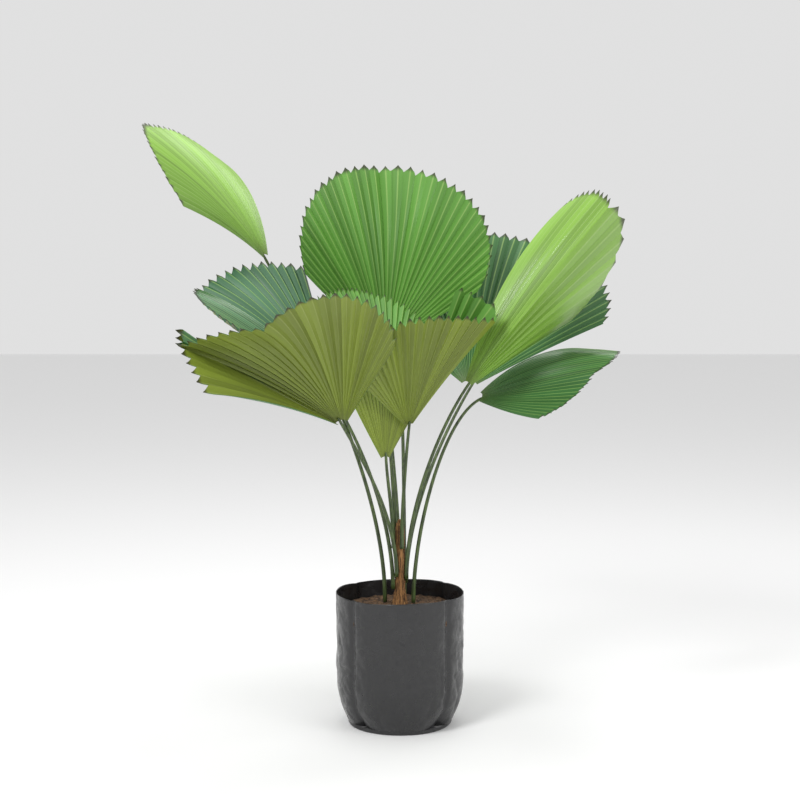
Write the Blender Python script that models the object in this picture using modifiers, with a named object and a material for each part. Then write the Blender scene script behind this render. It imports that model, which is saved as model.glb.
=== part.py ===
"""A ruffled fan palm in a nursery grow bag.

Eleven round pleated fronds stand on slender petioles. The petioles leave a short fibrous stem,
which grows out of the potting mix in a flexible black bag. Metres, +Z up, and the origin is the
middle of the bag's flat underside. +X is to the right and -Y is the front.
"""
import math

import bmesh
import bpy
import numpy as np
from mathutils import Vector

# Bag and potting mix
BAG_RADIUS = 0.125
BAG_HEIGHT = 0.260
BAG_BASE_RADIUS = 0.097
BAG_TUCK_HEIGHT = 0.090
BAG_FILM = 0.0025
BAG_CORNER_ANGLE = 48.0
BAG_CORNER_PINCH = 0.003
BAG_SIDES = 40
MIX_DEPTH_BELOW_RIM = 0.032
MIX_MOUND = 0.008
MIX_CROWN = 0.33
CLEARANCE = 0.0004

# Stem
STEM_RADIUS = 0.010
STEM_FLARE = 0.016
STEM_TOP = 0.400
STEM_SIDES = 16
STEM_LEVELS = (0.0, 0.08, 0.16, 0.30, 0.60, 0.90, 0.96, 1.0)

# Fronds
TOOTH_SPREAD = 5.0
TOOTH_DEPTH = 0.012
BLADE_THICKNESS = 0.0040
BLADE_START = 0.018
PLEAT_DEPTH = 0.0022
ROWS = (0.0, 0.30, 0.60, 0.84, 1.0)
SAG = 0.04

# Petioles
PETIOLE_BASE_RADIUS = 0.0040
PETIOLE_TIP_RADIUS = 0.0026
PETIOLE_POINTS = 12

# Colours
LEAF_GREEN = (0.07, 0.22, 0.03, 1.0)
PETIOLE_GREEN = (0.05, 0.09, 0.03, 1.0)
FIBRE_BROWN = (0.20, 0.10, 0.04, 1.0)
MIX_BROWN = (0.10, 0.06, 0.035, 1.0)
FILM_BLACK = (0.012, 0.012, 0.013, 1.0)


def clear_scene():
    for thing in list(bpy.data.objects):
        bpy.data.objects.remove(thing, do_unlink=True)


def material(name, colour, roughness):
    made = bpy.data.materials.new(name)
    made.use_nodes = True
    shader = made.node_tree.nodes["Principled BSDF"]
    shader.inputs["Base Color"].default_value = colour
    shader.inputs["Roughness"].default_value = roughness
    shader.inputs["Metallic"].default_value = 0.0
    return made


def add_part(name, data, finish, group):
    part = bpy.data.objects.new(name, data)
    data.materials.append(finish)
    group.objects.link(part)
    return part


# Rings of points

def ring_mesh(name, rings, closed_bottom=False, closed_top=False):
    """A skin through rings of points that all have the same count, from the lowest to the highest."""
    shape = bmesh.new()
    rows = [[shape.verts.new(point) for point in ring] for ring in rings]
    count = len(rows[0])
    for lower, upper in zip(rows, rows[1:]):
        for i in range(count):
            j = (i + 1) % count
            shape.faces.new((lower[i], lower[j], upper[j], upper[i]))
    if closed_bottom:
        shape.faces.new(list(reversed(rows[0])))
    if closed_top:
        shape.faces.new(rows[-1])
    mesh = bpy.data.meshes.new(name)
    shape.to_mesh(mesh)
    shape.free()
    return mesh


def bag_section(radius, height, pinch, inset=0.0):
    """One level round of the bag: a circle that is pinched in at its four gusset corners."""
    points = []
    corners = (BAG_CORNER_ANGLE, 180.0 - BAG_CORNER_ANGLE, 180.0 + BAG_CORNER_ANGLE, -BAG_CORNER_ANGLE)
    for i in range(BAG_SIDES):
        angle = 360.0 * i / BAG_SIDES - 90.0
        away = min(abs((angle - 90.0 - c + 180.0) % 360.0 - 180.0) for c in corners)
        dent = pinch * max(0.0, 1.0 - away / 14.0)
        r = radius - dent - inset
        points.append(Vector((r * math.cos(math.radians(angle)), r * math.sin(math.radians(angle)), height)))
    return points


def bag_radius_at(height):
    """The bag's radius at a height: a flat base, rounded out over the folded tucks, then straight."""
    if height >= BAG_TUCK_HEIGHT:
        return BAG_RADIUS
    share = height / BAG_TUCK_HEIGHT
    return BAG_BASE_RADIUS + (BAG_RADIUS - BAG_BASE_RADIUS) * math.sin(share * math.pi / 2.0) ** 0.75


def make_bag(finish, group):
    """The open bag: outside skin up, over the rim, and down the inside to its floor."""
    levels = (0.0, 0.008, 0.025, 0.055, BAG_TUCK_HEIGHT, 0.150, 0.205, BAG_HEIGHT)
    outside = [bag_section(bag_radius_at(z), z, BAG_CORNER_PINCH) for z in levels]
    inside_levels = (BAG_HEIGHT, 0.205, 0.150, BAG_TUCK_HEIGHT, 0.055, 0.025, 0.008, BAG_FILM)
    inside = [bag_section(bag_radius_at(z), z, BAG_CORNER_PINCH, BAG_FILM) for z in inside_levels]
    mesh = ring_mesh("grow_bag", outside + inside, closed_bottom=True, closed_top=True)
    return add_part("grow_bag", mesh, finish, group)


def make_mix(finish, group):
    """The potting mix: it fills the bag to a hand's width of rim and mounds up a little at the stem."""
    top = BAG_HEIGHT - MIX_DEPTH_BELOW_RIM
    floor = BAG_FILM + CLEARANCE
    inset = BAG_FILM + CLEARANCE
    levels = (floor, 0.008, 0.025, 0.055, BAG_TUCK_HEIGHT, 0.150, top)
    rings = [bag_section(bag_radius_at(z), z, BAG_CORNER_PINCH, inset) for z in levels]
    for share in (0.75, 0.5, MIX_CROWN):
        rise = MIX_MOUND * (1.0 - share) / (1.0 - MIX_CROWN)
        rings.append([Vector((p.x * share, p.y * share, top + rise)) for p in rings[len(levels) - 1]])
    mesh = ring_mesh("potting_mix", rings, closed_bottom=True, closed_top=True)
    return add_part("potting_mix", mesh, finish, group)


def mound_top():
    return BAG_HEIGHT - MIX_DEPTH_BELOW_RIM + MIX_MOUND


def stem_foot():
    return mound_top() + CLEARANCE


def stem_radius_at(height):
    """The stem's radius at a height: the flared foot, the long even part, and the blunt tip."""
    share = (height - stem_foot()) / (STEM_TOP - stem_foot())
    flare = (STEM_FLARE - STEM_RADIUS) * max(0.0, 1.0 - share / 0.25) ** 1.5
    taper = 1.0 - 0.12 * share
    tip = 1.0 if share < 0.9 else 1.0 - 0.6 * ((share - 0.9) / 0.1) ** 1.5
    return (STEM_RADIUS * taper + flare) * tip


def make_stem(finish, group):
    """The short stem, wrapped in old leaf fibre: a flared foot that tapers to a blunt tip."""
    turns = [2.0 * math.pi * i / STEM_SIDES for i in range(STEM_SIDES)]
    rings = []
    for share in STEM_LEVELS:
        height = stem_foot() + share * (STEM_TOP - stem_foot())
        radius = stem_radius_at(height)
        rings.append([Vector((radius * math.cos(a), radius * math.sin(a), height)) for a in turns])
    mesh = ring_mesh("stem", rings, closed_bottom=True, closed_top=True)
    return add_part("stem", mesh, finish, group)


# Fronds

class Frond:
    """One frond's driving values. Angles are in degrees.

    hastula is the point where petiole and blade meet. heading is the midrib's compass direction
    (0 is +X and 90 is +Y), lift its angle above the horizon, and roll the blade's turn about it.
    spread is how far the fan opens to the left and right of the midrib, seen on its upper face.
    cup is how much the fan closes towards its upper face for each degree of spread. reach is the
    blade's length at the midrib, the left side and the right side. curl bends the ribs towards
    the upper face. fold is one sharp fold along a rib: its place, its angle and its width.
    """

    def __init__(self, name, hastula, heading, lift, roll, spread, cup, reach, curl, fold=None, foot=None):
        self.name = name
        self.hastula = np.array(hastula)
        self.heading = heading
        self.lift = lift
        self.roll = roll
        self.spread = spread
        self.cup = cup
        self.reach = reach
        self.curl = curl
        self.fold = fold
        self.foot = foot


FRONDS = (
    Frond("high_left", (-0.258, 0.100, 0.893), 173, 62, 9, (61, 41), (0.02, 0.13),
          (0.37, 0.33, 0.39), (-26, -11, -40), fold=(0, 17, 10), foot=(165, 0.030)),
    Frond("mid_left", (-0.124, -0.080, 0.647), 184, 55, 29, (46, 40), (0.40, 0.30),
          (0.34, 0.31, 0.30), (-36, 9, -6), foot=(205, 0.265)),
    Frond("front_left", (-0.104, -0.145, 0.597), -127, 51, -35, (49, 59), (-0.19, 0.16),
          (0.40, 0.22, 0.38), (-42, 4, 9), fold=(31, -127, 7), foot=(-118, 0.290)),
    Frond("front_centre", (0.016, -0.019, 0.577), -83, 47, -10, (41, 34), (0.41, 0.23),
          (0.33, 0.32, 0.26), (-1, -9, 3), fold=(-28, 144, 9), foot=(-75, 0.345)),
    Frond("inner", (-0.025, -0.027, 0.631), 95, 66, -35, (61, 35), (0.24, 0.42),
          (0.24, 0.26, 0.18), (-14, -5, 9), foot=(135, 0.350)),
    Frond("low_inner", (-0.028, -0.044, 0.511), -96, 92, -43, (35, 32), (0.31, 0.30),
          (0.24, 0.24, 0.22), (-7, -10, -12), foot=(-160, 0.345)),
    Frond("centre", (-0.031, 0.142, 0.719), 102, 101, 0, (50, 57), (0.55, 0.69),
          (0.38, 0.29, 0.27), (-40, 23, 32), foot=(95, 0.300)),
    Frond("high_right", (0.119, -0.083, 0.659), -21, 53, -78, (33, 19), (0.0, 0.01),
          (0.46, 0.46, 0.33), (-4, -42, -95), fold=(0, -39, 5), foot=(-25, 0.285)),
    Frond("back_right", (0.136, 0.099, 0.644), 30, 52, -40, (81, 32), (0.23, 0.29),
          (0.39, 0.32, 0.31), (-23, -1, -3), foot=(30, 0.275)),
    Frond("low_right", (0.142, -0.012, 0.635), -35, 15, -41, (57, 37), (0.10, 0.48),
          (0.28, 0.36, 0.30), (2, -66, 16), foot=(0, 0.026)),
    Frond("back", (-0.004, 0.252, 0.766), 97, 38, -27, (52, 54), (0.56, 0.60),
          (0.31, 0.29, 0.29), (-12, -13, -12), foot=(65, 0.0208)),
)


def frame_of(heading, lift, roll):
    """The midrib's direction, the direction across the blade, and the upper face's normal."""
    h, l, r = (math.radians(angle) for angle in (heading, lift, roll))
    ahead = np.array((math.cos(l) * math.cos(h), math.cos(l) * math.sin(h), math.sin(l)))
    level = np.array((math.sin(h), -math.cos(h), 0.0))
    across = level * math.cos(r) + np.cross(level, ahead) * math.sin(r)
    return ahead, across, np.cross(across, ahead)


def fold_turned(frond, start, end):
    """How far the blade turns about its ribs between two places of the fan because of its fold."""
    if frond.fold is None:
        return 0.0
    place, angle, width = frond.fold
    return angle * 0.5 * (math.tanh(2.0 * (end - place) / width) - math.tanh(2.0 * (start - place) / width))


def side_ribs(frond, side, count):
    """The ribs of one side, laid out one by one from the midrib: place, direction and normal."""
    ahead, across, normal = frame_of(frond.heading, frond.lift, frond.roll)
    spread = frond.spread[0 if side < 0 else 1]
    cup = frond.cup[0 if side < 0 else 1]
    step = spread / count
    turn = math.radians(step)
    ribs = [(0.0, ahead, normal)]
    for i in range(count):
        place = side * step * i
        beyond = side * step * (i + 1)
        fold = fold_turned(frond, min(place, beyond), max(place, beyond))
        tip = math.radians(cup * step + fold)
        level = across * math.cos(turn) - side * ahead * math.sin(turn)
        ahead = ahead * math.cos(turn) + side * across * math.sin(turn)
        across = level * math.cos(tip) + side * normal * math.sin(tip)
        normal = normal * math.cos(tip) - side * level * math.sin(tip)
        ribs.append((beyond, ahead, normal))
    return ribs


def point_on_rib(frond, rib, along):
    """The point at a share of a rib's length. The rib bends as an arc and sags a little."""
    place, ahead, normal = rib
    side = 0 if place < 0 else 1
    share = abs(place) / frond.spread[side]
    reach = frond.reach[0] + (frond.reach[side + 1] - frond.reach[0]) * share ** 2
    curl = math.radians(frond.curl[0] + (frond.curl[side + 1] - frond.curl[0]) * share)
    if abs(curl) < 1e-4:
        curl = 1e-4
    forward = math.sin(curl * along) / curl
    upward = (1.0 - math.cos(curl * along)) / curl
    point = frond.hastula + reach * (forward * ahead + upward * normal)
    point[2] -= SAG * reach * math.sqrt(max(0.0, 1.0 - ahead[2] ** 2)) * along ** 2
    return point, reach


def blade_sheet(frond):
    """Points of the pleated blade, rib by rib: crests end in tooth tips and valleys in notches."""
    sides = []
    for side in (-1, 1):
        teeth = max(2, round(frond.spread[0 if side < 0 else 1] / TOOTH_SPREAD))
        sides.append(side_ribs(frond, side, 2 * teeth))
    ribs = list(reversed(sides[0]))[:-1] + sides[1]
    middle = len(sides[0]) - 1
    sheet = []
    for i, rib in enumerate(ribs):
        crest = (i - middle) % 2 == 0
        row = []
        for share in ROWS:
            reach = point_on_rib(frond, rib, 1.0)[1]
            first = BLADE_START / reach
            last = 1.0 if crest else 1.0 - TOOTH_DEPTH / reach
            along = first + share * (last - first)
            point, _ = point_on_rib(frond, rib, along)
            pleat = PLEAT_DEPTH * (1.0 if crest else -1.0) * min(1.0, share * 1.5)
            row.append(point + rib[2] * pleat)
        sheet.append(row)
    return sheet


def make_blade(frond, finish, group):
    """The blade as an open pleated sheet, thickened evenly to both sides."""
    shape = bmesh.new()
    grid = [[shape.verts.new(Vector(point)) for point in row] for row in blade_sheet(frond)]
    for left, right in zip(grid, grid[1:]):
        for i in range(len(ROWS) - 1):
            shape.faces.new((left[i], right[i], right[i + 1], left[i + 1]))
    name = "frond_" + frond.name
    mesh = bpy.data.meshes.new(name)
    shape.to_mesh(mesh)
    shape.free()
    blade = add_part(name, mesh, finish, group)
    thick = blade.modifiers.new("thickness", "SOLIDIFY")
    thick.thickness = BLADE_THICKNESS
    thick.offset = 0.0
    return blade


# Petioles

def petiole_path(frond):
    """The petiole's middle line, from its foot beside the stem to the blade's inner edge."""
    angle, height = frond.foot
    turn = math.radians(angle)
    if height < 0.1:
        away = height
        height = stem_foot()
    else:
        away = stem_radius_at(height) * math.cos(math.pi / STEM_SIDES) + PETIOLE_BASE_RADIUS + CLEARANCE
    foot = np.array((away * math.cos(turn), away * math.sin(turn), height))
    ahead = frame_of(frond.heading, frond.lift, frond.roll)[0]
    tip = point_on_rib(frond, (0.0, ahead, frame_of(frond.heading, frond.lift, frond.roll)[2]),
                       (BLADE_START - 2.5 * CLEARANCE) / frond.reach[0])[0]
    length = float(np.linalg.norm(tip - foot))
    start_pull = foot + np.array((0.0, 0.0, length * 0.35))
    end_pull = tip - ahead * length * 0.22
    path = []
    for i in range(PETIOLE_POINTS):
        u = i / (PETIOLE_POINTS - 1)
        path.append((1 - u) ** 3 * foot + 3 * (1 - u) ** 2 * u * start_pull
                    + 3 * (1 - u) * u ** 2 * end_pull + u ** 3 * tip)
    return path


def make_petiole(frond, finish, group):
    """The petiole: a round stalk that tapers from its foot to the blade."""
    name = "petiole_" + frond.name
    data = bpy.data.curves.new(name, "CURVE")
    data.dimensions = "3D"
    data.bevel_depth = 1.0
    data.bevel_resolution = 1
    data.use_fill_caps = True
    line = data.splines.new("POLY")
    line.points.add(PETIOLE_POINTS - 1)
    for i, point in enumerate(petiole_path(frond)):
        share = i / (PETIOLE_POINTS - 1)
        line.points[i].co = (*point, 1.0)
        line.points[i].radius = PETIOLE_BASE_RADIUS + (PETIOLE_TIP_RADIUS - PETIOLE_BASE_RADIUS) * share
    return add_part(name, data, finish, group)


def main():
    clear_scene()
    group = bpy.data.collections.new("fan palm in a grow bag")
    bpy.context.scene.collection.children.link(group)
    film = material("bag film", FILM_BLACK, 0.32)
    mix = material("potting mix", MIX_BROWN, 0.95)
    fibre = material("stem fibre", FIBRE_BROWN, 0.9)
    stalk = material("petiole", PETIOLE_GREEN, 0.45)
    leaf = material("leaf", LEAF_GREEN, 0.4)
    make_bag(film, group)
    make_mix(mix, group)
    make_stem(fibre, group)
    for frond in FRONDS:
        make_petiole(frond, stalk, group)
        make_blade(frond, leaf, group)


main()
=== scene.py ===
"""The looks of a ruffled fan palm in a black nursery grow bag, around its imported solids."""
import math

import bpy
import numpy as np
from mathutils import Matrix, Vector, noise


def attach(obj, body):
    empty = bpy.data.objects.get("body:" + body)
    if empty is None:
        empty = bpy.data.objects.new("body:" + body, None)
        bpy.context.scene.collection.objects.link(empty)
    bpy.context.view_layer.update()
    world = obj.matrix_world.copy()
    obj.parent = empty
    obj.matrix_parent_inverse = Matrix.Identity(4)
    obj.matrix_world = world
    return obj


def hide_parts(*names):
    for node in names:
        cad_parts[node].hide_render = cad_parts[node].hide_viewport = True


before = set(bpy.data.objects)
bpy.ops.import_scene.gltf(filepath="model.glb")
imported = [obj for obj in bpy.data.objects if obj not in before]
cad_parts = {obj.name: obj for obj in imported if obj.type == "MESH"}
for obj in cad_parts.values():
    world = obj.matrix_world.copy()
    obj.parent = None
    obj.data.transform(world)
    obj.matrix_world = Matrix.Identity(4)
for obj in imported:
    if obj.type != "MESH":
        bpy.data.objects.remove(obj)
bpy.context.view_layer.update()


# Camera, floor and light
# A long lens looks slightly down on the plant from three and a half metres, as in the photo.
# The floor is plain and pale. Large soft lamps stand to the left front, to the right and above.
VIEW_PLACE = (0.0, -3.5, 1.0)
VIEW_PITCH = 6.0
LENS = 82.5
SENSOR_WIDTH = 36.0
SKY_STRENGTH = 0.75
MIDDLE_OF_PLANT = (0.0, 0.0, 0.6)
FLOOR_HALF = 9
WHITE = (1.0, 1.0, 1.0, 1.0)

view = bpy.data.cameras.new("view")
view.lens = LENS
view.sensor_width = SENSOR_WIDTH
viewpoint = bpy.data.objects.new("view", view)
viewpoint.location = VIEW_PLACE
viewpoint.rotation_euler = (math.radians(90.0 - VIEW_PITCH), 0.0, 0.0)
bpy.context.scene.collection.objects.link(viewpoint)
bpy.context.scene.camera = viewpoint
bpy.context.scene.view_settings.view_transform = "Standard"

sky = bpy.data.worlds.new("studio")
sky.use_nodes = True
sky_light = sky.node_tree.nodes["Background"]
sky_light.inputs["Color"].default_value = WHITE
sky_light.inputs["Strength"].default_value = SKY_STRENGTH
bpy.context.scene.world = sky


def soft_lamp(name, place, size, power):
    """A round soft lamp that faces the middle of the plant."""
    lamp = bpy.data.lights.new(name, "AREA")
    lamp.shape = "DISK"
    lamp.size = size
    lamp.energy = power
    holder = bpy.data.objects.new(name, lamp)
    holder.location = place
    holder.rotation_euler = (Vector(MIDDLE_OF_PLANT) - Vector(place)).to_track_quat("-Z", "Y").to_euler()
    bpy.context.scene.collection.objects.link(holder)


soft_lamp("key", (-1.6, -2.2, 3.0), 1.2, 75.0)
soft_lamp("fill", (2.4, -1.8, 1.6), 1.6, 22.0)
soft_lamp("top", (0.3, 0.6, 3.4), 1.6, 35.0)


class Socket:
    """One output of a node tree, with the arithmetic that is used on it."""

    def __init__(self, tree, output):
        self.tree = tree
        self.output = output

    def node(self, kind, settings=None, **values):
        """A new node: its settings first, then the values or links of its inputs, by name or as i0, i1."""
        made = self.tree.nodes.new(kind)
        for key, value in (settings or {}).items():
            setattr(made, key, value)
        for key, value in values.items():
            numbered = key[0] == "i" and key[1:].isdigit()
            slot = made.inputs[int(key[1:]) if numbered else key]
            if isinstance(value, Socket):
                self.tree.links.new(value.output, slot)
            else:
                slot.default_value = value
        return made

    def take(self, kind, settings=None, outlet=0, **values):
        """One output of a new node."""
        return Socket(self.tree, self.node(kind, settings, **values).outputs[outlet])

    def calculate(self, operation, first, second):
        return self.take("ShaderNodeMath", {"operation": operation}, i0=first, i1=second)

    def __add__(self, other):
        return self.calculate("ADD", self, other)

    def __radd__(self, other):
        return self.calculate("ADD", other, self)

    def __sub__(self, other):
        return self.calculate("SUBTRACT", self, other)

    def __rsub__(self, other):
        return self.calculate("SUBTRACT", other, self)

    def __mul__(self, other):
        return self.calculate("MULTIPLY", self, other)

    def __rmul__(self, other):
        return self.calculate("MULTIPLY", other, self)

    def of(self, operation, other=0.0):
        return self.calculate(operation, self, other)

    def between(self, low_end, high_end):
        """0 below the first value, 1 above the second, and smooth between them."""
        smooth = {"interpolation_type": "SMOOTHSTEP"}
        return self.take("ShaderNodeMapRange", smooth, i0=self, i1=low_end, i2=high_end, i3=0.0, i4=1.0)

    def blend(self, one, other):
        """A colour between two colours, by this value."""
        return self.take("ShaderNodeMix", {"data_type": "RGBA"}, outlet=2, i0=self, i6=one, i7=other)


def colour(red, green, blue):
    return (red, green, blue, 1.0)


def new_finish(name, roughness, coat=0.0):
    """A material with one Principled shader, and a socket to build on."""
    made = bpy.data.materials.new(name)
    made.use_nodes = True
    shader = made.node_tree.nodes["Principled BSDF"]
    shader.inputs["Roughness"].default_value = roughness
    shader.inputs["Coat Weight"].default_value = coat
    return made, shader, Socket(made.node_tree, None)


def object_from(name, points, faces, finish, uv=None):
    """An object made of points and faces. Its uv holds one place for each point."""
    mesh = bpy.data.meshes.new(name)
    mesh.from_pydata([tuple(p) for p in points], [], [tuple(f) for f in faces])
    if uv is not None:
        layer = mesh.uv_layers.new(name="UVMap")
        corners = np.empty(len(mesh.loops), dtype=np.int32)
        mesh.loops.foreach_get("vertex_index", corners)
        layer.data.foreach_set("uv", np.asarray(uv, dtype=np.float32)[corners].ravel())
    mesh.materials.append(finish)
    made = bpy.data.objects.new(name, mesh)
    bpy.context.scene.collection.objects.link(made)
    return made


floor_finish, floor_shader, _ = new_finish("floor", 0.7)
floor_shader.inputs["Base Color"].default_value = colour(0.86, 0.86, 0.86)
floor_corners = [(-FLOOR_HALF, -FLOOR_HALF, 0), (FLOOR_HALF, -FLOOR_HALF, 0),
                 (FLOOR_HALF, FLOOR_HALF, 0), (-FLOOR_HALF, FLOOR_HALF, 0)]
floor = object_from("floor", floor_corners, [(0, 1, 2, 3)], floor_finish)


# Grow bag
# A flexible black polythene bag with gussets down its sides. It is filled to a soft drum with four
# upright creases, folded tucks at the foot, and crinkles where the film was pressed.
BAG_RADIUS = 0.125
BAG_HEIGHT = 0.260
BAG_BASE_RADIUS = 0.097
BAG_TUCK_HEIGHT = 0.090
BAG_CORNER_ANGLE = 48.0
FILM = 0.0012
CREASE_DEPTH = 0.0035
CREASE_WIDTH = 3.0
HOLLOW_DEPTH = 0.002
HOLLOW_WIDTH = 10.0
TUCK_DEPTH = 0.010
TUCK_WIDTH = 12.0
TUCK_RISE = 0.05
CRINKLE_DEPTH = 0.0035
WIDE_CRINKLES = 22.0
FINE_CRINKLES = 47.0
FLAT_FOOT = 0.004
RIM_EDGE = 0.002
RIM_WAVE = 0.0015
RIM_WAVES = 3.0
RIM_WAVE_START = 40.0
RIM_INSIDE = 0.05
CALM_FROM = 0.14
CALM_OVER = 0.08
FIRST_WALL_LEVEL = 0.006
BAG_SPOKES = 300
BAG_STEPS = 110

film_finish, film_shader, film_base = new_finish("bag_film", 0.30, coat=0.25)
film_shader.inputs["Base Color"].default_value = colour(0.010, 0.010, 0.011)


def place_on(base):
    """The place of a point on a piece, in metres."""
    return base.take("ShaderNodeTexCoord", outlet="Object")


def mottle(base, place, scale, **settings):
    """Soft noise from 0 to 1 over a piece."""
    return base.take("ShaderNodeTexNoise", {"noise_dimensions": "3D"}, Vector=place, Scale=scale, **settings)


def relief(base, height, strength, distance):
    """Fine bumps in the surface."""
    return base.take("ShaderNodeBump", Strength=strength, Distance=distance, Height=height)


def plug(finish, shader, name, value):
    finish.node_tree.links.new(value.output, shader.inputs[name])


film_place = place_on(film_base)
crinkle = mottle(film_base, film_place, 38.0, Detail=6.0, Roughness=0.62, Distortion=1.4)
specks = mottle(film_base, film_place, 260.0, Detail=2.0)
film_roughness = 0.26 + 0.25 * crinkle.between(0.35, 0.7) + 0.2 * specks.between(0.66, 0.7)
plug(film_finish, film_shader, "Normal", relief(film_base, crinkle, 0.35, 0.004))
plug(film_finish, film_shader, "Roughness", film_roughness)


def bag_radius_at(height):
    if height >= BAG_TUCK_HEIGHT:
        return BAG_RADIUS
    share = max(0.0, height) / BAG_TUCK_HEIGHT
    return BAG_BASE_RADIUS + (BAG_RADIUS - BAG_BASE_RADIUS) * math.sin(share * math.pi / 2.0) ** 0.75


def groove(away, depth, width):
    """The depth of a soft groove at an angle away from its middle."""
    return depth * math.exp(-(away / width) ** 2)


def bag_dent(angle, height):
    """How far the film stands in from its even drum: creases, tucks and pressed crinkles."""
    corners = (BAG_CORNER_ANGLE, 180.0 - BAG_CORNER_ANGLE, 180.0 + BAG_CORNER_ANGLE, -BAG_CORNER_ANGLE)
    away = min(abs((angle - c + 180.0) % 360.0 - 180.0) for c in corners)
    crease = groove(away, CREASE_DEPTH, CREASE_WIDTH) + groove(away, HOLLOW_DEPTH, HOLLOW_WIDTH)
    tuck = groove(away, TUCK_DEPTH, TUCK_WIDTH) * max(0.0, 1.0 - height / TUCK_RISE)
    spot = Vector((BAG_RADIUS * math.radians(angle), height, 0.3))
    wide = abs(noise.noise(spot * WIDE_CRINKLES + Vector((3.1, 0.0, 0.0))))
    ridges = wide + 0.5 * abs(noise.noise(spot * FINE_CRINKLES))
    calmer_above = 1.0 - 0.5 * min(1.0, max(0.0, (height - CALM_FROM) / CALM_OVER))
    return crease + tuck + CRINKLE_DEPTH * (1.0 - ridges) * calmer_above


def bag_point(angle, height, inset):
    turn = math.radians(angle - 90.0)
    r = bag_radius_at(height) - inset
    if height > FLAT_FOOT:
        r -= bag_dent(angle, height)
    if height > BAG_HEIGHT - RIM_EDGE:
        height = height + RIM_WAVE * math.sin(math.radians(angle * RIM_WAVES + RIM_WAVE_START)) - RIM_WAVE
    return (r * math.cos(turn), r * math.sin(turn), height)


def ring_faces(rings, sides):
    """The faces of rings of points, one above the other, with a cap on each end."""
    faces = []
    for j in range(rings - 1):
        for i in range(sides):
            k = (i + 1) % sides
            faces.append((j * sides + i, j * sides + k, (j + 1) * sides + k, (j + 1) * sides + i))
    faces.append(tuple(reversed(range(sides))))
    faces.append(tuple((rings - 1) * sides + i for i in range(sides)))
    return faces


bag_levels = [0.0, 0.0015, FLAT_FOOT]
bag_wall = BAG_HEIGHT - FIRST_WALL_LEVEL
bag_levels += [FIRST_WALL_LEVEL + bag_wall * i / BAG_STEPS for i in range(BAG_STEPS + 1)]
bag_rings = [(z, 0.0) for z in bag_levels]
bag_rings += [(z, FILM) for z in reversed(bag_levels) if z > BAG_HEIGHT - RIM_INSIDE]
points = [bag_point(360.0 * i / BAG_SPOKES, z, inset) for z, inset in bag_rings for i in range(BAG_SPOKES)]
bag = object_from("grow_bag_film", points, ring_faces(len(bag_rings), BAG_SPOKES), film_finish)
bag.data.shade_smooth()
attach(bag, "root")
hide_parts("grow_bag")


# Potting mix
# Brown coir and bark fill the bag to three centimetres below its rim and mound up at the stem.
# Only the lumpy surface shows, so the piece is that surface with a shallow wall and a flat bottom.
MIX_TOP = BAG_HEIGHT - 0.032
MIX_MOUND = 0.008
MIX_RADIUS = BAG_RADIUS - 0.0068
MIX_DEPTH = 0.02
LUMP_HEIGHT = 0.0035
LUMPS = 70.0
GRAIN_HEIGHT = 0.002
GRAINS = 190.0
LUMPS_LOWERED = 0.001
MIX_RINGS = 60
MIX_SPOKES = 160
COIR_DARK = colour(0.025, 0.014, 0.008)
COIR_LIGHT = colour(0.20, 0.11, 0.055)

mix_finish, mix_shader, mix_base = new_finish("potting_mix", 0.95)
grains = mottle(mix_base, place_on(mix_base), 160.0, Detail=6.0, Roughness=0.7)
plug(mix_finish, mix_shader, "Base Color", grains.between(0.35, 0.68).blend(COIR_DARK, COIR_LIGHT))
plug(mix_finish, mix_shader, "Normal", relief(mix_base, grains, 0.9, 0.004))

points = []
for j in range(MIX_RINGS + 1):
    share = j / MIX_RINGS
    for i in range(MIX_SPOKES):
        turn = 2.0 * math.pi * i / MIX_SPOKES
        r = share * MIX_RADIUS
        x, y = r * math.cos(turn), r * math.sin(turn)
        lump = LUMP_HEIGHT * noise.noise(Vector((x, y, 0.0)) * LUMPS)
        lump += GRAIN_HEIGHT * noise.noise(Vector((x, y, 1.0)) * GRAINS)
        points.append((x, y, MIX_TOP + MIX_MOUND * (1.0 - share ** 1.6) + lump - LUMPS_LOWERED))
points += [(x, y, MIX_TOP - MIX_DEPTH) for x, y, z in points[MIX_RINGS * MIX_SPOKES:]]
faces = []
for j in range(MIX_RINGS + 1):
    for i in range(MIX_SPOKES):
        k = (i + 1) % MIX_SPOKES
        inner, outer = j * MIX_SPOKES, (j + 1) * MIX_SPOKES
        faces.append((inner + i, outer + i, outer + k, inner + k))
faces.append(tuple(reversed(range(outer, outer + MIX_SPOKES))))
mix = object_from("potting_mix_surface", points, faces, mix_finish)
mix.data.shade_smooth()
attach(mix, "root")
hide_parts("potting_mix")


# Stem
# The short stem is wrapped in orange-brown leaf fibre, rough and matted. It flares at its foot,
# tapers upwards and ends in a blunt tip.
STEM_FOOT = MIX_TOP + MIX_MOUND + 0.0004
STEM_TOP = 0.400
STEM_RADIUS = 0.010
STEM_TAPER = 0.12
STEM_FLARE = 0.006
STEM_FLARE_SHARE = 0.25
STEM_TIP_SHARE = 0.9
STEM_UNEVEN = 0.12
STEM_BURIED = 0.004
STEM_STEPS = 60
STEM_SIDES = 40
FIBRE_DARK = colour(0.045, 0.020, 0.008)
FIBRE_LIGHT = colour(0.42, 0.21, 0.075)

fibre_finish, fibre_shader, fibre_base = new_finish("stem_fibre", 0.9)
upright = fibre_base.take("ShaderNodeMapping", Vector=place_on(fibre_base), Scale=(1.0, 1.0, 0.12))
strands = mottle(fibre_base, upright, 420.0, Detail=4.0, Roughness=0.65)
plug(fibre_finish, fibre_shader, "Base Color", strands.between(0.35, 0.65).blend(FIBRE_DARK, FIBRE_LIGHT))
plug(fibre_finish, fibre_shader, "Normal", relief(fibre_base, strands, 0.8, 0.002))


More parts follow.
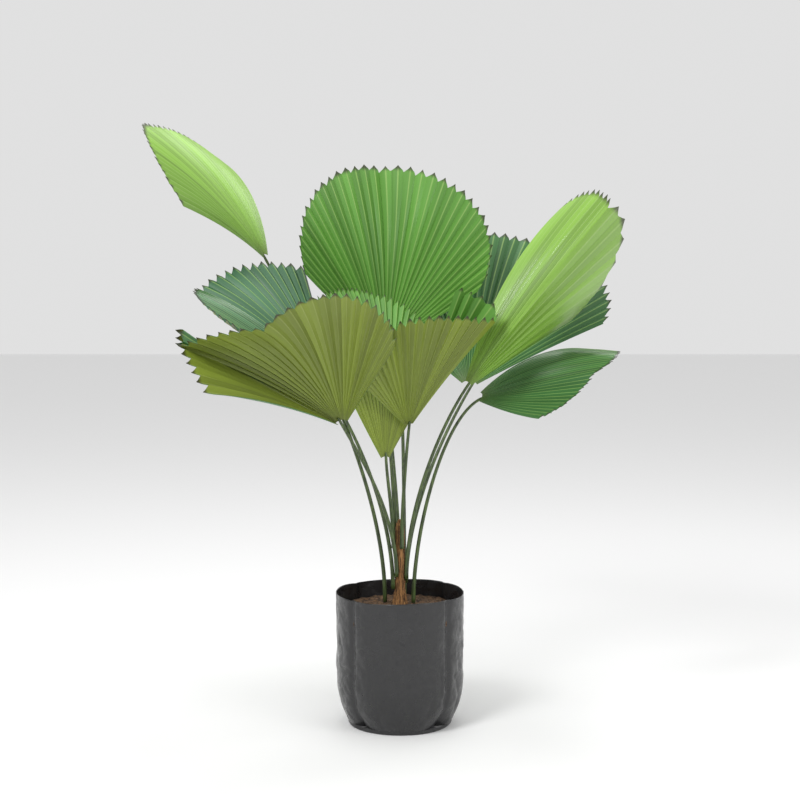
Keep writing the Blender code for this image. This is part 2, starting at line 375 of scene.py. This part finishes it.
def sweep(path, radii, sides, rough=0.0):
    """A closed tube along a path. Each ring stands square to the path, and the ends are capped."""
    path = [Vector(p) for p in path]
    points = []
    across = Vector((1.0, 0.0, 0.0))
    for j, spot in enumerate(path):
        ahead = (path[min(j + 1, len(path) - 1)] - path[max(j - 1, 0)]).normalized()
        across = (across - ahead * across.dot(ahead)).normalized()
        up = ahead.cross(across)
        for i in range(sides):
            turn = 2.0 * math.pi * i / sides
            out = across * math.cos(turn) + up * math.sin(turn)
            r = radii[j] * (1.0 + rough * noise.noise((spot + out * radii[j]) * 300.0))
            points.append(spot + out * r)
    return points, ring_faces(len(path), sides)


def stem_radius_at(share):
    """The stem's radius at a share of its height, with the flared foot and the blunt tip."""
    flare = STEM_FLARE * max(0.0, 1.0 - share / STEM_FLARE_SHARE) ** 1.5
    tip = 1.0
    if share > STEM_TIP_SHARE:
        tip -= 0.6 * ((share - STEM_TIP_SHARE) / (1.0 - STEM_TIP_SHARE)) ** 1.5
    return (STEM_RADIUS * (1.0 - STEM_TAPER * share) + flare) * tip


stem_shares = [i / STEM_STEPS for i in range(STEM_STEPS + 1)]
stem_length = STEM_TOP - STEM_FOOT + STEM_BURIED
stem_path = [(0.0, 0.0, STEM_FOOT - STEM_BURIED + s * stem_length) for s in stem_shares]
points, faces = sweep(stem_path, [stem_radius_at(s) for s in stem_shares], STEM_SIDES, rough=STEM_UNEVEN)
stem = object_from("stem_fibre_wrap", points, faces, fibre_finish)
stem.data.shade_smooth()
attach(stem, "root")
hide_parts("stem")


# Fronds
# Each frond is one round blade, pleated rib by rib like a fan, whose margin is cut to short dark
# teeth. The blades differ in green. Their undersides are a paler, yellower green, brightened with painted
# light that stands in for light shining through the blade.
PLEAT_SPREAD = 3.2
PLEAT_SLOPE = 0.20
PLEAT_DEPTH = 0.0030
TOOTH_DEPTH = 0.014
TOOTH_UNEVEN = 0.25
MARGIN_UNEVEN = 0.002
PLEAT_UNEVEN = 0.2
BLADE = 0.0008
BLADE_START = 0.018
SAG = 0.04
COLUMNS = 8
ROWS = 44
FIRST_PLEAT = 200.0

FRESH = colour(0.085, 0.235, 0.028)
BRIGHT = colour(0.17, 0.33, 0.035)
DEEP = colour(0.035, 0.125, 0.030)
BLUISH = colour(0.035, 0.120, 0.050)
# Underside colours: the lower face's own paler green, brightened with painted light shining through the
# blade.
OLIVE_UNDER_LIT_THROUGH = colour(0.16, 0.21, 0.02)
GREEN_UNDER_LIT_THROUGH = colour(0.10, 0.19, 0.03)
RIB_ABOVE = colour(0.30, 0.46, 0.13)
RIB_BELOW = colour(0.34, 0.40, 0.12)
# The blade's foot colour: its own brownish olive, darkened with painted shade.
BLADE_FOOT_BROWN_AND_SHADE = colour(0.10, 0.12, 0.03)
TOOTH_TIP = colour(0.02, 0.014, 0.008)


class Frond:
    """One frond's driving values, in metres and degrees: where petiole and blade meet, the
    midrib's heading, lift and roll, the fan's spread to the left and right, how much each side is
    cupped, the reach and curl at the midrib and both sides, and one sharp fold.

    The foot is where its petiole begins: an angle around the stem, and a height on the stem. A
    foot lower than the stem's own foot is instead a distance from the stem's axis, on the mix."""

    def __init__(self, name, hastula, heading, lift, roll, spread, cup, reach, curl, foot, fold=None):
        self.name = name
        self.hastula = np.array(hastula)
        self.heading = heading
        self.lift = lift
        self.roll = roll
        self.spread = spread
        self.cup = cup
        self.reach = reach
        self.curl = curl
        self.fold = fold
        self.foot = foot


FRONDS = (
    Frond("high_left", (-0.258, 0.100, 0.893), 173, 62, 9, (61, 41), (0.02, 0.13),
          (0.37, 0.33, 0.39), (-26, -11, -40), (165, 0.030), fold=(0, 17, 10)),
    Frond("mid_left", (-0.124, -0.080, 0.647), 184, 55, 29, (46, 40), (0.40, 0.30),
          (0.34, 0.31, 0.30), (-36, 9, -6), (205, 0.265)),
    Frond("front_left", (-0.104, -0.145, 0.597), -127, 51, -35, (49, 59), (-0.19, 0.16),
          (0.40, 0.22, 0.38), (-42, 4, 9), (-118, 0.290), fold=(31, -127, 7)),
    Frond("front_centre", (0.016, -0.019, 0.577), -83, 47, -10, (41, 34), (0.41, 0.23),
          (0.33, 0.32, 0.26), (-1, -9, 3), (-75, 0.345), fold=(-28, 144, 9)),
    Frond("inner", (-0.025, -0.027, 0.631), 95, 66, -35, (61, 35), (0.24, 0.42),
          (0.24, 0.26, 0.18), (-14, -5, 9), (135, 0.350)),
    Frond("low_inner", (-0.028, -0.044, 0.511), -96, 92, -43, (35, 32), (0.31, 0.30),
          (0.24, 0.24, 0.22), (-7, -10, -12), (-160, 0.345)),
    Frond("centre", (-0.031, 0.142, 0.719), 102, 101, 0, (50, 57), (0.55, 0.69),
          (0.38, 0.29, 0.27), (-40, 23, 32), (95, 0.300)),
    Frond("high_right", (0.119, -0.083, 0.659), -21, 53, -78, (33, 19), (0.0, 0.01),
          (0.46, 0.46, 0.33), (-4, -42, -95), (-25, 0.285), fold=(0, -39, 5)),
    Frond("back_right", (0.136, 0.099, 0.644), 30, 52, -40, (81, 32), (0.23, 0.29),
          (0.39, 0.32, 0.31), (-23, -1, -3), (30, 0.275)),
    Frond("low_right", (0.142, -0.012, 0.635), -35, 15, -41, (57, 37), (0.10, 0.48),
          (0.28, 0.36, 0.30), (2, -66, 16), (0, 0.026)),
    Frond("back", (-0.004, 0.252, 0.766), 97, 38, -27, (52, 54), (0.56, 0.60),
          (0.31, 0.29, 0.29), (-12, -13, -12), (65, 0.0208)),
)


def frame_of(heading, lift, roll):
    """The midrib's direction, the direction across the blade, and the upper face's normal."""
    h, l, r = (math.radians(angle) for angle in (heading, lift, roll))
    ahead = np.array((math.cos(l) * math.cos(h), math.cos(l) * math.sin(h), math.sin(l)))
    level = np.array((math.sin(h), -math.cos(h), 0.0))
    across = level * math.cos(r) + np.cross(level, ahead) * math.sin(r)
    return ahead, across, np.cross(across, ahead)


def fold_turned(frond, start, end):
    """How far the frond's fold turns the blade between two ribs."""
    if frond.fold is None:
        return 0.0
    where, angle, width = frond.fold
    past_end = math.tanh(2.0 * (end - where) / width)
    past_start = math.tanh(2.0 * (start - where) / width)
    return angle * 0.5 * (past_end - past_start)


def side_ribs(frond, side, count):
    """The ribs of one side, laid out one by one from the midrib: place, direction and normal."""
    ahead, across, normal = frame_of(frond.heading, frond.lift, frond.roll)
    spread = frond.spread[0 if side < 0 else 1]
    cup = frond.cup[0 if side < 0 else 1]
    step = spread / count
    turn = math.radians(step)
    ribs = [(0.0, ahead, normal)]
    for i in range(count):
        here = side * step * i
        beyond = side * step * (i + 1)
        tip = math.radians(cup * step + fold_turned(frond, min(here, beyond), max(here, beyond)))
        level = across * math.cos(turn) - side * ahead * math.sin(turn)
        ahead = ahead * math.cos(turn) + side * across * math.sin(turn)
        across = level * math.cos(tip) + side * normal * math.sin(tip)
        normal = normal * math.cos(tip) - side * level * math.sin(tip)
        ribs.append((beyond, ahead, normal))
    return ribs


def points_on_rib(frond, rib, along):
    """Points at shares of a rib's length. The rib bends as an arc and sags a little."""
    where, ahead, normal = rib
    side = 0 if where < 0 else 1
    share = abs(where) / frond.spread[side]
    reach = frond.reach[0] + (frond.reach[side + 1] - frond.reach[0]) * share ** 2
    curl = math.radians(frond.curl[0] + (frond.curl[side + 1] - frond.curl[0]) * share)
    if abs(curl) < 1e-4:
        curl = 1e-4
    forward = (np.sin(curl * along) / curl)[:, None] * ahead
    upward = ((1.0 - np.cos(curl * along)) / curl)[:, None] * normal
    spots = frond.hastula + reach * (forward + upward)
    spots[:, 2] -= SAG * reach * math.sqrt(max(0.0, 1.0 - ahead[2] ** 2)) * along ** 2
    return spots, reach


def shaded(tone, factor, added=0.0):
    """A lighter or darker form of a colour."""
    return tuple(min(1.0, c * factor + added) for c in tone[:3]) + (1.0,)


def drawn_out(base, across, along, layer, detail):
    """Noise that is long in one direction of the fan."""
    place = base.take("ShaderNodeCombineXYZ", X=across, Y=along, Z=layer)
    return mottle(base, place, 1.0, Detail=detail)


def leaf_finish(name, upper, under, shine):
    """A leaf's finish: its upper and lower colours, light ribs, fine veins and dark tooth tips, with painted
    light patches, painted light through the underside and painted shade at the blade's foot.
    """
    finish, shader, base = new_finish(name, 0.42, coat=0.05)
    parts = base.node("ShaderNodeSeparateXYZ", Vector=base.take("ShaderNodeUVMap", {"uv_map": "UVMap"}))
    across = Socket(base.tree, parts.outputs[0])
    along = Socket(base.tree, parts.outputs[1])
    below = base.take("ShaderNodeAttribute", {"attribute_name": "underside"}, outlet="Fac")

    off_rib = (across.of("FRACT") - 0.5).of("ABSOLUTE")
    pleat_tone = base.take("ShaderNodeTexWhiteNoise", {"noise_dimensions": "1D"}, W=across.of("FLOOR"))
    grain = drawn_out(base, across * 9.0, along * 1.6, 0.0, 3.0)
    # Broad lighter and darker patches across the fan are painted light, where the bent blade turns towards
    # or away from the lamps. Grain and pleat tone are the leaf's own random tone.
    painted_light_patch = drawn_out(base, across * 0.35, along * 1.2, 3.0, 2.0)
    tone_and_painted_light = (0.45 * grain + 0.35 * pleat_tone + 0.5 * painted_light_patch - 0.15).of("MINIMUM", 1.0)
    # The darker and lighter copies of each colour span the random tone and the painted light patches.
    top_side = tone_and_painted_light.blend(shaded(upper, 0.55), shaded(upper, 1.55, 0.01))
    # The lower face takes the underside colour, with its painted light shining through the blade.
    low_side = tone_and_painted_light.blend(shaded(under, 0.6), shaded(under, 1.5))

    rib = 1.0 - off_rib.between(0.02, 0.09)
    top_side = (rib * 0.55).blend(top_side, RIB_ABOVE)
    low_side = (rib * 0.4).blend(low_side, RIB_BELOW)
    skin = below.blend(top_side, low_side)
    # Towards the hastula the blade darkens to brownish olive. This is partly the foot's own brown and partly
    # painted shade, where the pleats close in among the other fronds.
    foot = 1.0 - along.between(0.02, 0.16)
    skin = (foot * 0.6).blend(skin, BLADE_FOOT_BROWN_AND_SHADE)
    tips = along.between(0.955, 0.985) * (1.0 - off_rib.between(0.10, 0.5) * 0.5)
    skin = (tips * 0.9).blend(skin, TOOTH_TIP)

    veins = (across * 9.0).of("SINE") * 0.4 + grain
    plug(finish, shader, "Base Color", skin)
    plug(finish, shader, "Roughness", shine + 0.18 * grain)
    plug(finish, shader, "Normal", relief(base, veins, 0.25, 0.0006))
    return finish


def pleated_sheet(frond):
    """The blade's middle surface as columns of points along its ribs, with the place of each in
    the fan: the pleat's number, with its share across that pleat, and the share along the rib."""
    sides = []
    for side in (-1, 1):
        pleats = max(2, round(frond.spread[0 if side < 0 else 1] / PLEAT_SPREAD))
        sides.append(side_ribs(frond, side, COLUMNS * pleats))
    ribs = list(reversed(sides[0]))[:-1] + sides[1]
    middle = len(sides[0]) - 1
    rows = np.linspace(0.0, 1.0, ROWS + 1)
    sheet = []
    fan_places = []
    for i, rib in enumerate(ribs):
        column = (i - middle) / COLUMNS
        pleat = math.floor(column)
        off_rib = abs(column - pleat - 0.5) * 2.0
        uneven = 0.5 * math.sin(pleat * 12.9898) + 0.5 * math.sin(pleat * 4.1414 + 1.3)
        reach = points_on_rib(frond, rib, rows)[1]
        tooth = TOOTH_DEPTH * (1.0 + TOOTH_UNEVEN * uneven) * off_rib ** 0.8
        cut = tooth + MARGIN_UNEVEN * (1.0 + uneven)
        first = BLADE_START / reach
        last = 1.0 - cut / reach
        along = first + rows * (last - first)
        spots = points_on_rib(frond, rib, along)[0]
        width = math.radians(PLEAT_SPREAD) * reach * along
        wave = (1.0 - 2.0 * off_rib) * (0.85 + 0.15 * off_rib)
        height = wave * np.minimum(width * PLEAT_SLOPE, PLEAT_DEPTH) * (1.0 + PLEAT_UNEVEN * uneven)
        sheet.append(spots + height[:, None] * rib[2])
        fan_places.append(np.stack((np.full(len(rows), column + FIRST_PLEAT), along), axis=1))
    return np.array(sheet), np.array(fan_places)


def blade_object(frond, finish):
    """The pleated blade as a thin closed skin around its middle surface."""
    sheet, fan_places = pleated_sheet(frond)
    normal = np.cross(np.gradient(sheet, axis=0), np.gradient(sheet, axis=1))
    normal /= np.linalg.norm(normal, axis=2, keepdims=True) + 1e-12
    upper = sheet + normal * BLADE * 0.5
    under = sheet - normal * BLADE * 0.5
    columns, rows = sheet.shape[:2]
    points = np.concatenate((upper.reshape(-1, 3), under.reshape(-1, 3)))
    uv = np.concatenate((fan_places.reshape(-1, 2), fan_places.reshape(-1, 2)))

    near = np.arange(columns * rows).reshape(columns, rows)
    far = near + columns * rows
    top = np.stack((near[:-1, :-1], near[1:, :-1], near[1:, 1:], near[:-1, 1:]), axis=2).reshape(-1, 4)
    bottom = np.stack((far[:-1, :-1], far[:-1, 1:], far[1:, 1:], far[1:, :-1]), axis=2).reshape(-1, 4)
    edge = np.concatenate((near[:, 0], near[-1, 1:], near[::-1, -1][1:], near[0, ::-1][1:-1]))
    onward = np.roll(edge, -1)
    rim = np.stack((onward, edge, edge + columns * rows, onward + columns * rows), axis=1)
    faces = np.concatenate((top, bottom, rim)).tolist()

    blade = object_from("blade_" + frond.name, points, faces, finish, uv=uv)
    flags = blade.data.attributes.new("underside", "FLOAT", "FACE")
    values = np.zeros(len(faces), dtype=np.float32)
    values[len(top):len(top) + len(bottom)] = 1.0
    flags.data.foreach_set("value", values)
    return blade


LEAF_FINISHES = {
    "high_left": leaf_finish("leaf_high_left", BRIGHT, GREEN_UNDER_LIT_THROUGH, 0.34),
    "mid_left": leaf_finish("leaf_mid_left", BLUISH, OLIVE_UNDER_LIT_THROUGH, 0.32),
    "front_left": leaf_finish("leaf_front_left", DEEP, OLIVE_UNDER_LIT_THROUGH, 0.42),
    "front_centre": leaf_finish("leaf_front_centre", FRESH, OLIVE_UNDER_LIT_THROUGH, 0.42),
    "inner": leaf_finish("leaf_inner", FRESH, GREEN_UNDER_LIT_THROUGH, 0.38),
    "low_inner": leaf_finish("leaf_low_inner", BRIGHT, OLIVE_UNDER_LIT_THROUGH, 0.38),
    "centre": leaf_finish("leaf_centre", FRESH, GREEN_UNDER_LIT_THROUGH, 0.36),
    "high_right": leaf_finish("leaf_high_right", BRIGHT, GREEN_UNDER_LIT_THROUGH, 0.34),
    "back_right": leaf_finish("leaf_back_right", DEEP, GREEN_UNDER_LIT_THROUGH, 0.34),
    "low_right": leaf_finish("leaf_low_right", DEEP, GREEN_UNDER_LIT_THROUGH, 0.28),
    "back": leaf_finish("leaf_back", FRESH, GREEN_UNDER_LIT_THROUGH, 0.36),
}

for frond in FRONDS:
    blade = blade_object(frond, LEAF_FINISHES[frond.name])
    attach(blade, "root")
    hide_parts("frond_" + frond.name)


# Petioles
# Each blade stands on a slender green petiole. It rises from beside the stem or from the mix, and
# bends outwards to run on a little way under the blade.
PETIOLE_FOOT_RADIUS = 0.0040
PETIOLE_TOP_RADIUS = 0.0026
PETIOLE_END_RADII = (0.0022, 0.0012)
PETIOLE_UNDER_BLADE = 0.026
PETIOLE_BELOW_FACE = 0.0016
PETIOLE_OFF_STEM = 0.0044
PETIOLE_RISE = 0.35
PETIOLE_BEND = 0.22
PETIOLE_STEPS = 48
PETIOLE_SIDES = 16
PETIOLE_DARK = colour(0.022, 0.038, 0.012)
PETIOLE_LIGHT = colour(0.085, 0.130, 0.035)

petiole_finish, petiole_shader, petiole_base = new_finish("petiole", 0.42)
upright = petiole_base.take("ShaderNodeMapping", Vector=place_on(petiole_base), Scale=(1.0, 1.0, 0.1))
streak = mottle(petiole_base, upright, 260.0, Detail=3.0)
petiole_green = streak.between(0.3, 0.7).blend(PETIOLE_DARK, PETIOLE_LIGHT)
plug(petiole_finish, petiole_shader, "Base Color", petiole_green)


def petiole_foot(frond):
    """The petiole's first point, against the stem's side or on the mix."""
    angle, height = frond.foot
    turn = math.radians(angle)
    if height > STEM_FOOT:
        away = stem_radius_at((height - STEM_FOOT) / (STEM_TOP - STEM_FOOT)) * 0.98 + PETIOLE_OFF_STEM
    else:
        away = height
        height = STEM_FOOT
    return np.array((away * math.cos(turn), away * math.sin(turn), height))


def petiole_path(frond, shares):
    """The curve from the foot, first upwards, to just under the blade, along its midrib."""
    foot = petiole_foot(frond)
    ahead, across, normal = frame_of(frond.heading, frond.lift, frond.roll)
    under_blade = np.array([PETIOLE_UNDER_BLADE / frond.reach[0]])
    tip = points_on_rib(frond, (0.0, ahead, normal), under_blade)[0][0] - normal * PETIOLE_BELOW_FACE
    length = float(np.linalg.norm(tip - foot))
    rise = foot + np.array((0.0, 0.0, length * PETIOLE_RISE))
    bend = tip - ahead * length * PETIOLE_BEND
    return [(1 - u) ** 3 * foot + 3 * (1 - u) ** 2 * u * rise + 3 * (1 - u) * u ** 2 * bend + u ** 3 * tip
            for u in shares]


for frond in FRONDS:
    shares = [i / PETIOLE_STEPS for i in range(PETIOLE_STEPS + 1)]
    radii = [PETIOLE_FOOT_RADIUS + (PETIOLE_TOP_RADIUS - PETIOLE_FOOT_RADIUS) * u for u in shares]
    radii[-2:] = PETIOLE_END_RADII
    points, faces = sweep(petiole_path(frond, shares), radii, PETIOLE_SIDES)
    stalk = object_from("stalk_" + frond.name, points, faces, petiole_finish)
    stalk.data.shade_smooth()
    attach(stalk, "root")
    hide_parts("petiole_" + frond.name)
